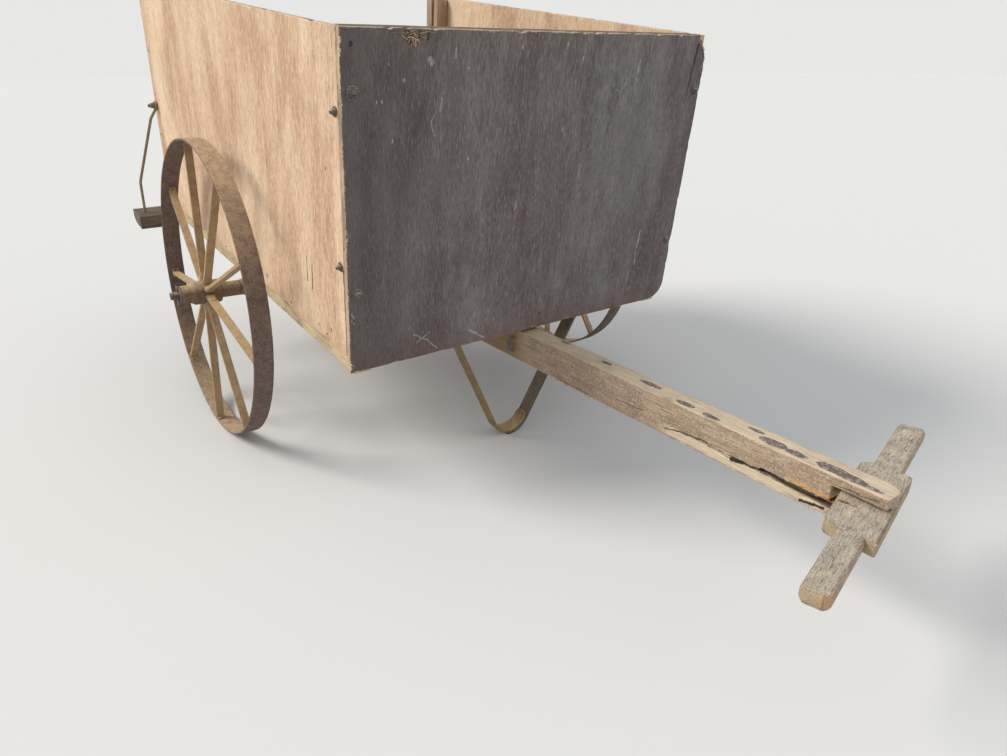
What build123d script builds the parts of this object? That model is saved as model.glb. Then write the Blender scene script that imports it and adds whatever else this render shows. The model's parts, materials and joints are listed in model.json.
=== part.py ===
from build123d import *
from math import asin, atan2, cos, degrees, hypot, radians, sin, tan
import os

# A home-made two-wheeled hand cart: a plywood box on an iron-wheeled axle, a timber
# tongue with a cross handle, and a strap-iron stand behind the front panel.
# Millimetres, +X forward along the tongue, +Y to the cart's left, +Z up, ground at Z = 0.
# The cart parks nose down on its stand, so most pieces are placed in the bed's own frame:
# x = 0 at the front panel's outer face, y = 0 at the middle, z = 0 at that panel's foot.

# box
ply = 13                 # plywood thickness
box_length = 1168        # front panel's face to the rear end of the sides
box_width = 864          # across the front panel
box_height = 610         # front panel
rear_flare = 32          # each side stands this much further out at the rear end
side_foot = 32           # the side panels stop this far above the front panel's foot
corner_cut = 44          # the front panel's rotted lower left corner

# frame under the box
sill_depth = 64
sill_width = 38
sill_foot = -12          # underside of the side sills in the bed's frame
sill_tail = 70           # the sills run on behind the box to carry the rear cross sill
board_thick = 19         # floor boards
board_count = 8
board_gap = 3
flat_wide = 89           # the two cross sills are this wide, laid flat
flat_thick = 38
front_sill_foot = -8
rear_sill_out = 122      # rear cross sill's ends beyond the front panel's width
rear_sill_gap = 4        # behind the side panels
cross_sill_gap = 8       # the front cross sill stops this far short of each side sill
saw_gap = 1              # left where one sawn piece butts another

# posts and rails inside the box
post = 38
rear_post = 33
corner_gap = 2.5         # the corner posts stand this far behind the front panel
slot = 14                # takes a lift-out tailboard
slot_batten = 24
batten_drop = 6          # the battens stop this far below the panels' top

# axle and wheels
axle_x = -569
axle_z = -24.7           # axle height at the wheel's middle, in the bed's frame
axle_bar = 31.5          # square, with turned spindles
bend_y = 436             # the square bar bends up just outside the sills
spindle_radius = 12.7
bore_radius = 12.78
camber = 1.93            # degrees; the tops of the wheels lean in on a sagging axle
wheel_y = 528            # middle of the rim
wheel_radius = 353
rim_width = 43
rim_thick = 5
spoke_count = 9
spoke_phase = 8          # degrees from forward, turning down, to the first spoke
spoke_wide = 18          # flat bars set on edge
spoke_thick = 7
foot_row = 11            # where the spokes meet the hub, outward of the rim's middle
tip_lean = 12            # their tips wander this far to either side of it round the wheel
boss_wide = 22           # the thick foot of each spoke
boss_thick = 15
boss_long = 24
boss_taper = 6           # degrees
tab_long = 24            # the spoke's end, riveted flat under the rim
tab_wide = 16
tab_thick = 3
hub_radius = 27.5
hub_inner_end = -66      # from the rim's middle
hub_outer_end = 71
spindle_end = 94
seat_gap = 0.3           # between round faces that seat on each other
end_play = 0.6           # between the hub and the collar or washer at its end

# tongue and handle
tongue_y = 15            # it is set a little to the left
tongue_top = -7.5        # at the front panel's face, just under the front cross sill
tongue_rise = 6.84       # degrees, relative to the bed
tongue_wide = 48
tongue_deep = 72
tongue_front = 842
tongue_tail = -625
lap_thick = 20           # the tongue's end that lies over the handle
lap_lift = 3             # it has lifted this much at its end
notch_length = 84
split_tip = 579          # a rotten split runs back from the notch to here
handle_x = 809
handle_skew = 15.5       # degrees; it has worked round on its bolt
handle_right = 262       # its ends, from the bolt
handle_left = 288
handle_thick = 22
grip_front = 19          # the right grip's front edge, forward of the bolt
grip_corner = 8          # cut off the grips' end corners
grip_round = 7           # hands have worn the grips' edges round

# stand
stand_x = -60
stand_sole = 313         # reach below the front panel's foot
strap_wide = 35
strap_thick = 6
stand_splay = 25.8       # degrees from upright
stand_bend = 48
lap_round = 14           # corners of the inner strap's upper end

# parked attitude, from the wheel's height and the stand's reach
hub_height = wheel_radius * cos(radians(camber)) + rim_width / 2 * sin(radians(camber))
sole_x = stand_x + strap_wide / 2
axle_to_sole = hypot(sole_x - axle_x, stand_sole + axle_z)
pitch = degrees(asin(hub_height / axle_to_sole)) - degrees(atan2(stand_sole + axle_z, sole_x - axle_x))


def level(x, z):
    """Ground-frame x and z, before the origin is set, of a point of the bed's frame."""
    dx, dz = x - axle_x, z - axle_z
    c, s = cos(radians(pitch)), sin(radians(pitch))
    return dx * c + dz * s, hub_height + dz * c - dx * s


def along_tongue(along, below):
    """A point of the bed's frame: along the tongue from the front panel, and below its top."""
    rise = radians(tongue_rise)
    return along * cos(rise) + below * sin(rise), tongue_top + along * sin(rise) - below * cos(rise)


skew = radians(handle_skew)
nose_reach = grip_front * cos(skew) + (handle_right - grip_corner) * sin(skew)
nose_x = level(*along_tongue(handle_x + nose_reach, lap_thick + grip_round))[0]
tail_x = level(-box_length - rear_sill_gap - flat_wide, sill_foot - flat_thick)[0]
middle_x = (nose_x + tail_x) / 2     # the ground frame's origin is under the middle

bed_x, bed_z = level(0, 0)
bed = Plane(
    origin=(bed_x - middle_x, 0, bed_z),
    x_dir=(cos(radians(pitch)), 0, -sin(radians(pitch))),
    z_dir=(sin(radians(pitch)), 0, cos(radians(pitch))),
)


def on(frame, plane):
    """A plane given in a frame's own coordinates, carried to the ground frame."""
    return Plane(frame.location * plane.location)


flare = atan2(rear_flare, box_length)
side_plane = on(bed, Plane(
    origin=(0, box_width / 2, 0),
    x_dir=(-cos(flare), sin(flare), 0),
    z_dir=(sin(flare), cos(flare), 0),
))


def half_width(x):
    """Outer half width of the box at x in the bed's frame."""
    return box_width / 2 - x * tan(flare)


pieces = {}


# box panels
with BuildPart() as front_panel:
    with BuildSketch(on(bed, Plane.YZ)) as outline:
        with Locations((0, box_height / 2)):
            Rectangle(box_width, box_height)
        rotted = outline.vertices().sort_by(Axis.Z)[:2].sort_by(Axis.Y)[-1]
        fillet(rotted, corner_cut)
    extrude(amount=-ply)
pieces["front_panel"] = front_panel

side_run = (box_length - ply) / cos(flare)
with BuildPart() as side_panel_left:
    with BuildSketch(side_plane):
        with Locations((ply / cos(flare) + side_run / 2, (side_foot + box_height) / 2)):
            Rectangle(side_run, box_height - side_foot)
    extrude(amount=-ply)
pieces["side_panel_left"] = side_panel_left

# sills, inside the side panels and running on behind them
sill_run = side_run + sill_tail
with BuildPart() as side_sill_left:
    with BuildSketch(side_plane.offset(-ply)):
        with Locations((ply / cos(flare) + sill_run / 2, sill_foot + sill_depth / 2)):
            Rectangle(sill_run, sill_depth)
    extrude(amount=-sill_width)
pieces["side_sill_left"] = side_sill_left

# cross sills, laid flat: the front one between the side sills, the rear one under them
front_half = half_width(-ply - flat_wide) - ply / cos(flare) - sill_width - cross_sill_gap
with BuildPart() as front_cross_sill:
    with BuildSketch(on(bed, Plane.XY.offset(front_sill_foot))):
        with Locations((-ply - flat_wide / 2, 0)):
            Rectangle(flat_wide, 2 * front_half)
    extrude(amount=flat_thick)
pieces["front_cross_sill"] = front_cross_sill

rear_sill_x = -box_length - rear_sill_gap - flat_wide / 2
with BuildPart() as rear_cross_sill:
    with BuildSketch(on(bed, Plane.XY.offset(sill_foot))):
        with Locations((rear_sill_x, 0)):
            Rectangle(flat_wide, box_width + 2 * rear_sill_out)
    extrude(amount=-flat_thick)
pieces["rear_cross_sill"] = rear_cross_sill

# floor boards across the sills, each cut to the box's width where it lies
floor_z = sill_foot + sill_depth
board_pitch = (box_length - ply) / board_count
with BuildPart() as floor_boards:
    for board in range(board_count):
        front_edge = -ply - board * board_pitch - saw_gap
        back_edge = front_edge - board_pitch + board_gap
        front_y = half_width(front_edge) - ply / cos(flare) - saw_gap
        back_y = half_width(back_edge) - ply / cos(flare) - saw_gap
        with BuildSketch(on(bed, Plane.XY.offset(floor_z))):
            with BuildLine():
                Polyline((front_edge, -front_y), (front_edge, front_y),
                         (back_edge, back_y), (back_edge, -back_y), close=True)
            make_face()
        extrude(amount=board_thick)
pieces["floor_boards"] = floor_boards

# posts in the front corners, tailboard guides at the rear, and the front top rail
floor_top = floor_z + board_thick


def left_post(start, wide, top, deep=post):
    """A post against the left panel's inner face: start is its front face's x behind the front."""
    with BuildPart() as upright:
        with BuildSketch(side_plane.offset(-ply)):
            with Locations((start + wide / 2, (floor_top + saw_gap + top) / 2)):
                Rectangle(wide, top - floor_top - saw_gap)
        extrude(amount=-deep)
    return upright


post_top = box_height - post - saw_gap
pieces["corner_post_left"] = left_post(ply + corner_gap, post, post_top)
guide_front = box_length - rear_post - slot - slot_batten
pieces["slot_batten_left"] = left_post(guide_front, slot_batten, box_height - batten_drop)
pieces["rear_post_left"] = left_post(box_length - rear_post, rear_post, box_height)

rail_half = half_width(-ply - post) - ply / cos(flare) - 2 * saw_gap
with BuildPart() as front_top_rail:
    with BuildSketch(on(bed, Plane.XY.offset(box_height - post))):
        with Locations((-ply - post / 2, 0)):
            Rectangle(post, 2 * rail_half)
    extrude(amount=post)
pieces["front_top_rail"] = front_top_rail

# axle: a square bar under the sills, its ends bent up, with a turned spindle for each wheel
cut_sides = 20           # the collars and washers were cut round by hand
collar_radius = 19
collar_thick = 7
washer_radius = 18
washer_thick = 4
pin_radius = 2.5
pin_half = 24
pin_gap = 0.2
nose_radius = 9          # the spindle's end, outside the washer
bury = 1                 # the bent ends run this far into the straight bar
lean = radians(camber)
bar_z = axle_z - (wheel_y - bend_y) * tan(lean)
shoulder = hub_inner_end - end_play - collar_thick   # where the square bar ends, from the rim's middle
wheel_plane = on(bed, Plane(
    origin=(axle_x, wheel_y, axle_z), x_dir=(1, 0, 0), z_dir=(0, cos(lean), sin(lean))))
spindle_step = hub_outer_end + end_play + washer_thick + pin_gap
pin_along = spindle_step + pin_radius
pin_plane = on(wheel_plane, Plane(origin=(0, 0, pin_along), x_dir=(1, 0, 0), z_dir=(0, 1, 0)))
with BuildPart() as axle:
    with BuildSketch(on(bed, Plane.XZ.offset(-bend_y))):
        with Locations((axle_x, bar_z)):
            Rectangle(axle_bar, axle_bar)
    extrude(amount=2 * bend_y)
    with BuildSketch(wheel_plane.offset(shoulder)):
        Rectangle(axle_bar, axle_bar)
    extrude(amount=-shoulder - (wheel_y - bend_y) / cos(lean) - bury)
    with BuildSketch(wheel_plane.offset(shoulder)):
        Circle(spindle_radius)
    extrude(amount=spindle_step - shoulder)
    with BuildSketch(wheel_plane.offset(spindle_step)):
        Circle(nose_radius)
    extrude(amount=spindle_end - spindle_step)
    with BuildSketch(pin_plane.offset(-pin_half)):
        RegularPolygon(pin_radius, 8)
    extrude(amount=2 * pin_half, mode=Mode.SUBTRACT)
    mirror(about=Plane.XZ)
pieces["axle"] = axle

# clamps that hold the axle up to the sills
clamp_y = half_width(axle_x) - ply - sill_width / 2
clamp_thick = 5
clamp_wide = 32
clamp_foot = 34
clamp_in = axle_bar / 2
clamp_low = bar_z - axle_bar / 2
with BuildPart() as axle_clamp_left:
    with BuildSketch(on(bed, Plane.XZ.offset(-clamp_y - clamp_wide / 2))):
        with BuildLine():
            reach = clamp_in + clamp_thick
            foot_z = sill_foot - clamp_thick
            Polyline(
                (axle_x - reach - clamp_foot, sill_foot), (axle_x - clamp_in, sill_foot),
                (axle_x - clamp_in, clamp_low), (axle_x + clamp_in, clamp_low),
                (axle_x + clamp_in, sill_foot), (axle_x + reach + clamp_foot, sill_foot),
                (axle_x + reach + clamp_foot, foot_z), (axle_x + reach, foot_z),
                (axle_x + reach, clamp_low - clamp_thick), (axle_x - reach, clamp_low - clamp_thick),
                (axle_x - reach, foot_z), (axle_x - reach - clamp_foot, foot_z), close=True)
        make_face()
    extrude(amount=clamp_wide)
pieces["axle_clamp_left"] = axle_clamp_left

# wheels: band rim, a barrel hub, and flat spokes on edge that fan across the rim
with BuildPart() as wheel_rim_left:
    with BuildSketch(wheel_plane.offset(-rim_width / 2)):
        Circle(wheel_radius)
        Circle(wheel_radius - rim_thick, mode=Mode.SUBTRACT)
    extrude(amount=rim_width)
pieces["wheel_rim_left"] = wheel_rim_left

hub_profile = [
    # along the axle, radius
    (hub_inner_end, 18.5), (-22, 18.5), (-18, hub_radius), (42, hub_radius), (51, 22),
    (hub_outer_end, 21),
]
with BuildPart() as wheel_hub_left:
    with BuildSketch(on(wheel_plane, Plane.XZ)):
        with BuildLine():
            Polyline((bore_radius, hub_inner_end), *[(radius, along) for along, radius in hub_profile],
                     (bore_radius, hub_outer_end), close=True)
        make_face()
    revolve(axis=Axis(wheel_plane.origin, wheel_plane.z_dir))
pieces["wheel_hub_left"] = wheel_hub_left

# each spoke is drawn from inside the hub to past the rim, then all are cut to the space between
tab_radius = wheel_radius - rim_thick - tab_thick
spoke_root = 26          # inside the hub's barrel
with BuildPart() as wheel_spokes_left:
    for spoke in range(spoke_count):
        angle = spoke_phase + spoke * 360 / spoke_count
        tip_row = tip_lean * sin(radians(angle))
        slant = atan2(foot_row - tip_row, tab_radius - spoke_root)
        turned = on(wheel_plane, Plane.XY.rotated((0, 0, angle)))
        root = on(turned, Plane(origin=(spoke_root, 0, foot_row), x_dir=(0, 1, 0),
                                z_dir=(cos(slant), 0, -sin(slant))))
        with BuildSketch(root):
            Rectangle(spoke_thick, spoke_wide)
        extrude(amount=wheel_radius - spoke_root)
        with BuildSketch(root) as boss:
            Rectangle(boss_thick, boss_wide)
            chamfer(boss.vertices(), boss_thick / 4)
        extrude(amount=boss_long, taper=boss_taper)
        tip = on(turned, Plane(origin=(tab_radius, 0, tip_row), x_dir=(0, 1, 0), z_dir=(1, 0, 0)))
        with BuildSketch(tip):
            Rectangle(tab_long, tab_wide)
        extrude(amount=rim_thick)
    with BuildSketch(wheel_plane.offset(foot_row - 2 * rim_width)):
        Circle(wheel_radius - rim_thick - seat_gap)
        Circle(hub_radius + seat_gap, mode=Mode.SUBTRACT)
    extrude(amount=4 * rim_width, mode=Mode.INTERSECT)
pieces["wheel_spokes_left"] = wheel_spokes_left

# a forged collar on the spindle inside each hub, and a cut washer and linchpin outside it
with BuildPart() as axle_collar_left:
    with BuildSketch(wheel_plane.offset(hub_inner_end - end_play)):
        RegularPolygon(collar_radius, cut_sides)
        RegularPolygon(spindle_radius, cut_sides, major_radius=False, mode=Mode.SUBTRACT)
    extrude(amount=-collar_thick)
pieces["axle_collar_left"] = axle_collar_left

with BuildPart() as hub_washer_left:
    with BuildSketch(wheel_plane.offset(hub_outer_end + end_play)):
        RegularPolygon(washer_radius, cut_sides)
        RegularPolygon(spindle_radius, cut_sides, major_radius=False, mode=Mode.SUBTRACT)
    extrude(amount=washer_thick)
pieces["hub_washer_left"] = hub_washer_left

with BuildPart() as linchpin_left:
    with BuildSketch(pin_plane.offset(-pin_half)):
        RegularPolygon(pin_radius, 8)
    extrude(amount=2 * pin_half)
pieces["linchpin_left"] = linchpin_left

# tongue, in its own frame: x along it from the front panel, z = 0 on its top
rise = radians(tongue_rise)
tongue_frame = on(bed, Plane(
    origin=(0, tongue_y, tongue_top), x_dir=(cos(rise), 0, sin(rise)), z_dir=(-sin(rise), 0, cos(rise))))
notch_start = tongue_front - notch_length
tongue_side = [
    # along from the front panel, below the top
    (tongue_tail, 0), (640, 0), (tongue_front, -lap_lift), (tongue_front, lap_thick),
    (notch_start, lap_thick), (notch_start, 36), (727, 42), (692, 43.5), (656, 38), (638, 38),
    (634, 42.5), (split_tip, 47), (634, 45), (654, 44.5), (692, 46.5), (notch_start + 4, 48),
    (notch_start - 3, 68), (682, 71), (582, tongue_deep), (tongue_tail, tongue_deep),
]
rotten_edges = [
    # across the lap, width, height: its underside has rotted back from the handle
    (-16.5, 15, 5), (19, 10, 6),
]
with BuildPart() as tongue:
    with BuildSketch(on(tongue_frame, Plane.XZ.offset(-tongue_wide / 2))):
        with BuildLine():
            Polyline(*[(along, -below) for along, below in tongue_side], close=True)
        make_face()
    extrude(amount=tongue_wide)
    for across, wide, high in rotten_edges:
        with BuildSketch(on(tongue_frame, Plane.XY.offset(-lap_thick))):
            with Locations(((notch_start + tongue_front) / 2, across)):
                Rectangle(notch_length, wide)
        extrude(amount=high, mode=Mode.SUBTRACT)
    with BuildSketch(on(tongue_frame, Plane.XY.offset(-lap_thick))):
        with BuildLine():
            Polyline((tongue_front + 1, 9), (tongue_front - 4, 14), (tongue_front - 22, tongue_wide / 2 + 1),
                     (tongue_front + 1, tongue_wide / 2 + 1), close=True)
        make_face()
    extrude(amount=lap_thick + lap_lift + 1, mode=Mode.SUBTRACT)
pieces["tongue"] = tongue

# an iron staple, bent from square bar, in the tongue's right side under the front of the box
staple_x = -35
staple_z = -36
staple_half = 15
staple_out = 16
staple_bar = 5.5
with BuildPart() as tongue_staple:
    with BuildSketch(on(tongue_frame, Plane.YZ.offset(staple_x - staple_bar / 2))):
        with BuildLine():
            side_y = -tongue_wide / 2
            FilletPolyline(
                (side_y, staple_z + staple_half), (side_y - staple_out, staple_z + staple_half),
                (side_y - staple_out, staple_z - staple_half), (side_y, staple_z - staple_half),
                radius=staple_half / 2)
        trace(line_width=staple_bar)
    extrude(amount=staple_bar)
pieces["tongue_staple"] = tongue_staple

# a block on top of the tongue's tail, wedged to the tongue's slope, under the axle
block_long = 90
block_top = clamp_low
tail_top_front = tongue_top + (axle_x + block_long / 2) * tan(rise)
tail_top_back = tongue_top + (axle_x - block_long / 2) * tan(rise)
with BuildPart() as tongue_block:
    with BuildSketch(on(bed, Plane.XZ.offset(-tongue_y - tongue_wide / 2))):
        with BuildLine():
            Polyline(
                (axle_x + block_long / 2, block_top), (axle_x + block_long / 2, tail_top_front),
                (axle_x - block_long / 2, tail_top_back), (axle_x - block_long / 2, block_top),
                close=True)
        make_face()
    extrude(amount=tongue_wide)
pieces["tongue_block"] = tongue_block

# cross handle under the lap, turned askew: a block in the middle, shaved to a grip each side
handle_frame = on(tongue_frame, Plane(
    origin=(handle_x, 0, -lap_thick), x_dir=(cos(skew), sin(skew), 0),
    z_dir=(0, 0, 1)))
handle_outline = [
    # forward, to the left, corner radius
    (-21, grip_corner - handle_right, 0), (grip_corner - 21, -handle_right, 0),
    (grip_front - grip_corner, -handle_right, 0), (grip_front, grip_corner - handle_right, 0),
    (grip_front, -110, 0), (34, -114, 3), (34, 100, 8), (18, 104, 0),
    (18, handle_left - grip_corner, 0), (18 - grip_corner, handle_left, 0),
    (grip_corner - 27, handle_left, 0), (-27, handle_left - grip_corner, 0),
    (-26, 112, 0), (-42, 104, 12), (-42, -94, 14), (-21, -104, 0),
]
with BuildPart() as handle:
    with BuildSketch(handle_frame):
        with BuildLine():
            FilletPolyline(*[(forward, left) for forward, left, corner in handle_outline],
                           radius=[corner for forward, left, corner in handle_outline], close=True)
        make_face()
    extrude(amount=-handle_thick)
    grip_edges = handle.edges().filter_by(
        lambda edge: edge.length > handle_right / 2
        and abs(handle_frame.to_local_coords(edge.center()).Y) > handle_right / 2)
    fillet(grip_edges, grip_round)
pieces["handle"] = handle

# stand: two straps bent out flat under the front cross sill and lapped round one bend at the foot
splay = radians(stand_splay)
strap_top = front_sill_foot - strap_thick / 2
bend_z = -stand_sole + 1.5 * strap_thick + stand_bend
lap_y = -strap_thick / 2 / cos(splay)
inner_vertex_z = bend_z - stand_bend / sin(splay)
outer_vertex_z = inner_vertex_z + lap_y / tan(splay)
top_y = (strap_top - outer_vertex_z) * tan(splay)
lap_z = bend_z - stand_bend - strap_thick
foot_out = 62
foot_bend = 14
lap_run = 112            # the inner strap's length past the foot of the V
lower_lap = 8            # the outer strap's length past it


def strap(points, radii, name, end_round):
    """A strap bent along a line in the plane across the cart, y from the tongue and z."""
    across = on(bed, Plane(origin=(stand_x - strap_wide / 2, tongue_y, 0),
                           x_dir=(0, 1, 0), z_dir=(1, 0, 0)))
    with BuildPart() as piece:
        with BuildSketch(across):
            with BuildLine():
                FilletPolyline(*points, radius=radii)
            trace(line_width=strap_thick)
        extrude(amount=strap_wide)
        ends = piece.edges().filter_by(lambda edge: abs(edge.length - strap_thick) < 0.01)
        fillet(ends.sort_by(Axis.Z)[:2], end_round)
    pieces[name] = piece


strap([(-top_y - foot_out, strap_top), (-top_y, strap_top), (lap_y, inner_vertex_z),
       (lap_y + lap_run * sin(splay), inner_vertex_z + lap_run * cos(splay))],
      [foot_bend, stand_bend], "stand_leg_right", lap_round)
strap([(top_y + foot_out, strap_top), (top_y, strap_top),
       ((lap_z - outer_vertex_z) * tan(splay), lap_z), (lap_y - lower_lap, lap_z)],
      [foot_bend, stand_bend + strap_thick], "stand_leg_left", strap_thick)

# bent iron braces: an eye on a bolt through the rear post, and a rod down to the rear cross sill
rod_radius = 3.8
eye_radius = 9           # middle of the eye's ring
eye_along = 1150
eye_height = 303
eye_out = 5              # the ring's middle stands this far out from the panel
rod_route = [
    # along the side from the front, height, distance out from the panel
    (eye_along, eye_height - eye_radius, eye_out), (1157, 268, 20), (1203, 82, 66),
    (1217, sill_foot + 1, 64),
]
with BuildPart() as side_brace_left:
    with BuildLine(side_plane) as route:
        FilletPolyline(*rod_route, radius=[18, 50])
    with BuildSketch(Plane(route.line @ 0, z_dir=route.line % 0)):
        RegularPolygon(rod_radius, 8)
    sweep(path=route.line)
    eye_plane = on(side_plane, Plane(origin=(eye_along, eye_height, eye_out)))
    with BuildSketch(on(eye_plane, Plane.XZ)):
        with Locations((eye_radius, 0)):
            RegularPolygon(rod_radius, 6)
    revolve(axis=Axis(eye_plane.origin, eye_plane.z_dir))
pieces["side_brace_left"] = side_brace_left

bolt_radius = 4.5
bolt_out = 24
head_radius = 8
head_thick = 7
with BuildPart() as brace_bolt_left:
    with BuildSketch(eye_plane.offset(-eye_out)):
        RegularPolygon(bolt_radius, 8)
    extrude(amount=bolt_out)
    with BuildSketch(eye_plane.offset(rod_radius + 1)):
        RegularPolygon(head_radius, 6)
    extrude(amount=head_thick)
pieces["brace_bolt_left"] = brace_bolt_left

# right-hand twins of the left-hand pieces
for name in [name for name in pieces if name.endswith("_left") and not name.startswith("stand")]:
    with BuildPart() as twin:
        mirror(pieces[name].part, about=Plane.XZ)
    pieces[name.replace("_left", "_right")] = twin

os.makedirs("parts", exist_ok=True)
for name, piece in pieces.items():
    piece.part.label = name
    export_step(piece.part, f"parts/{name}.step")

print("pitch", round(pitch, 2), "hub height", round(hub_height, 1), "origin shift", round(middle_x, 1))
print("axle in the ground frame", level(axle_x, axle_z)[0] - middle_x, level(axle_x, axle_z)[1])
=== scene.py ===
import bmesh
import bpy
import json
import math
import random
from mathutils import Euler, Matrix, Vector, noise


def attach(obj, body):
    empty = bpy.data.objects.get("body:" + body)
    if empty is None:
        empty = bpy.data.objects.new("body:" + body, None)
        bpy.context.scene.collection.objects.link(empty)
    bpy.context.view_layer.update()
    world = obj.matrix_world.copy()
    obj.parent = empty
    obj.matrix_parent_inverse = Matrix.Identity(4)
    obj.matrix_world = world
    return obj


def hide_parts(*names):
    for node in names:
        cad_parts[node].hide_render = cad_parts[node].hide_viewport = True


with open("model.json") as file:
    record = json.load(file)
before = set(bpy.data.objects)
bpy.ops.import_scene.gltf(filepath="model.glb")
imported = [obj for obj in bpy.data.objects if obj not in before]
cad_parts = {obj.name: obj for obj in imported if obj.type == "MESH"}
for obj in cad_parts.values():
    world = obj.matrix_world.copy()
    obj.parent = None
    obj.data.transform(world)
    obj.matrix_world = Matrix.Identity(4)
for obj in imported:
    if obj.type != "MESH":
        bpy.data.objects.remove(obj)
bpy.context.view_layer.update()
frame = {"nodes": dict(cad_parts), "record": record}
nodes = frame["nodes"]
record = frame["record"]
body_of = {node: body for body, members in record["behaviour"]["bodies"].items() for node in members}

# Everything is placed from the middle of the axle, in metres
AXLE = Vector(record["behaviour"]["joints"][0]["pos_m"])
AXLE.y = 0

# The camera stands where the photograph was taken from: metres and degrees
CAMERA_AT = AXLE + Vector((1.7940, -0.9519, 0.5032))
CAMERA_HEADING = 144.18      # of the view, from +X towards +Y
CAMERA_DOWN = 23.39
CAMERA_ROLL = 0.27
CAMERA_LENS = 26.0           # this and the next in millimetres
CAMERA_SENSOR = 36

# The bed slopes down to its stand, its sides flare, the tongue rises from it, and the handle is askew
PITCH = math.radians(7.378)
FLARE = math.radians(1.569)
RISE = math.radians(6.84)
SKEW = math.radians(15.5)
BED_CORNER = Vector((0.569, 0, 0.0247))      # the front panel's foot, from the axle, along the bed
TONGUE_ROOT = Vector((0, 0.015, -0.0075))
HANDLE_BOLT = Vector((0.809, 0, -0.020))
BED = Matrix.Translation(AXLE) @ Matrix.Rotation(PITCH, 4, "Y") @ Matrix.Translation(BED_CORNER)
SIGN = {"left": 1, "right": -1}
SIDE = {"left": BED @ Matrix.Rotation(-FLARE, 4, "Z"), "right": BED @ Matrix.Rotation(FLARE, 4, "Z")}
TONGUE = BED @ Matrix.Translation(TONGUE_ROOT) @ Matrix.Rotation(-RISE, 4, "Y")
HANDLE = TONGUE @ Matrix.Translation(HANDLE_BOLT) @ Matrix.Rotation(SKEW, 4, "Z")

# Sizes of the wood and the wheels, in metres
PLY = 0.013
BOX_HIGH = 0.610
BOX_HALF = 0.432
CORNER_CUT = 0.044           # the rotted corner of the front panel
BOARD_WIDE = 0.144375        # a floor board, along the bed
SILL_OUT = 0.400             # from the bed's middle to the side sills, at the front
RIM_RADIUS = 0.353
RIM_WIDE = 0.043
RIM_THICK = 0.005
RIM_EDGE = 0.0012            # how far the rim's edges are worn
RIM_STEPS = 540              # round the rim
SPOKES = 9
FIRST_SPOKE = 8              # degrees below straight ahead


# Materials

def shade(red, green, blue):
    """A colour as a picture shows it, 0 to 255, made linear."""
    linear = []
    for value in (red, green, blue):
        value = value / 255
        linear.append(value / 12.92 if value < 0.04045 else ((value + 0.055) / 1.055) ** 2.4)
    return (*linear, 1)


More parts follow.
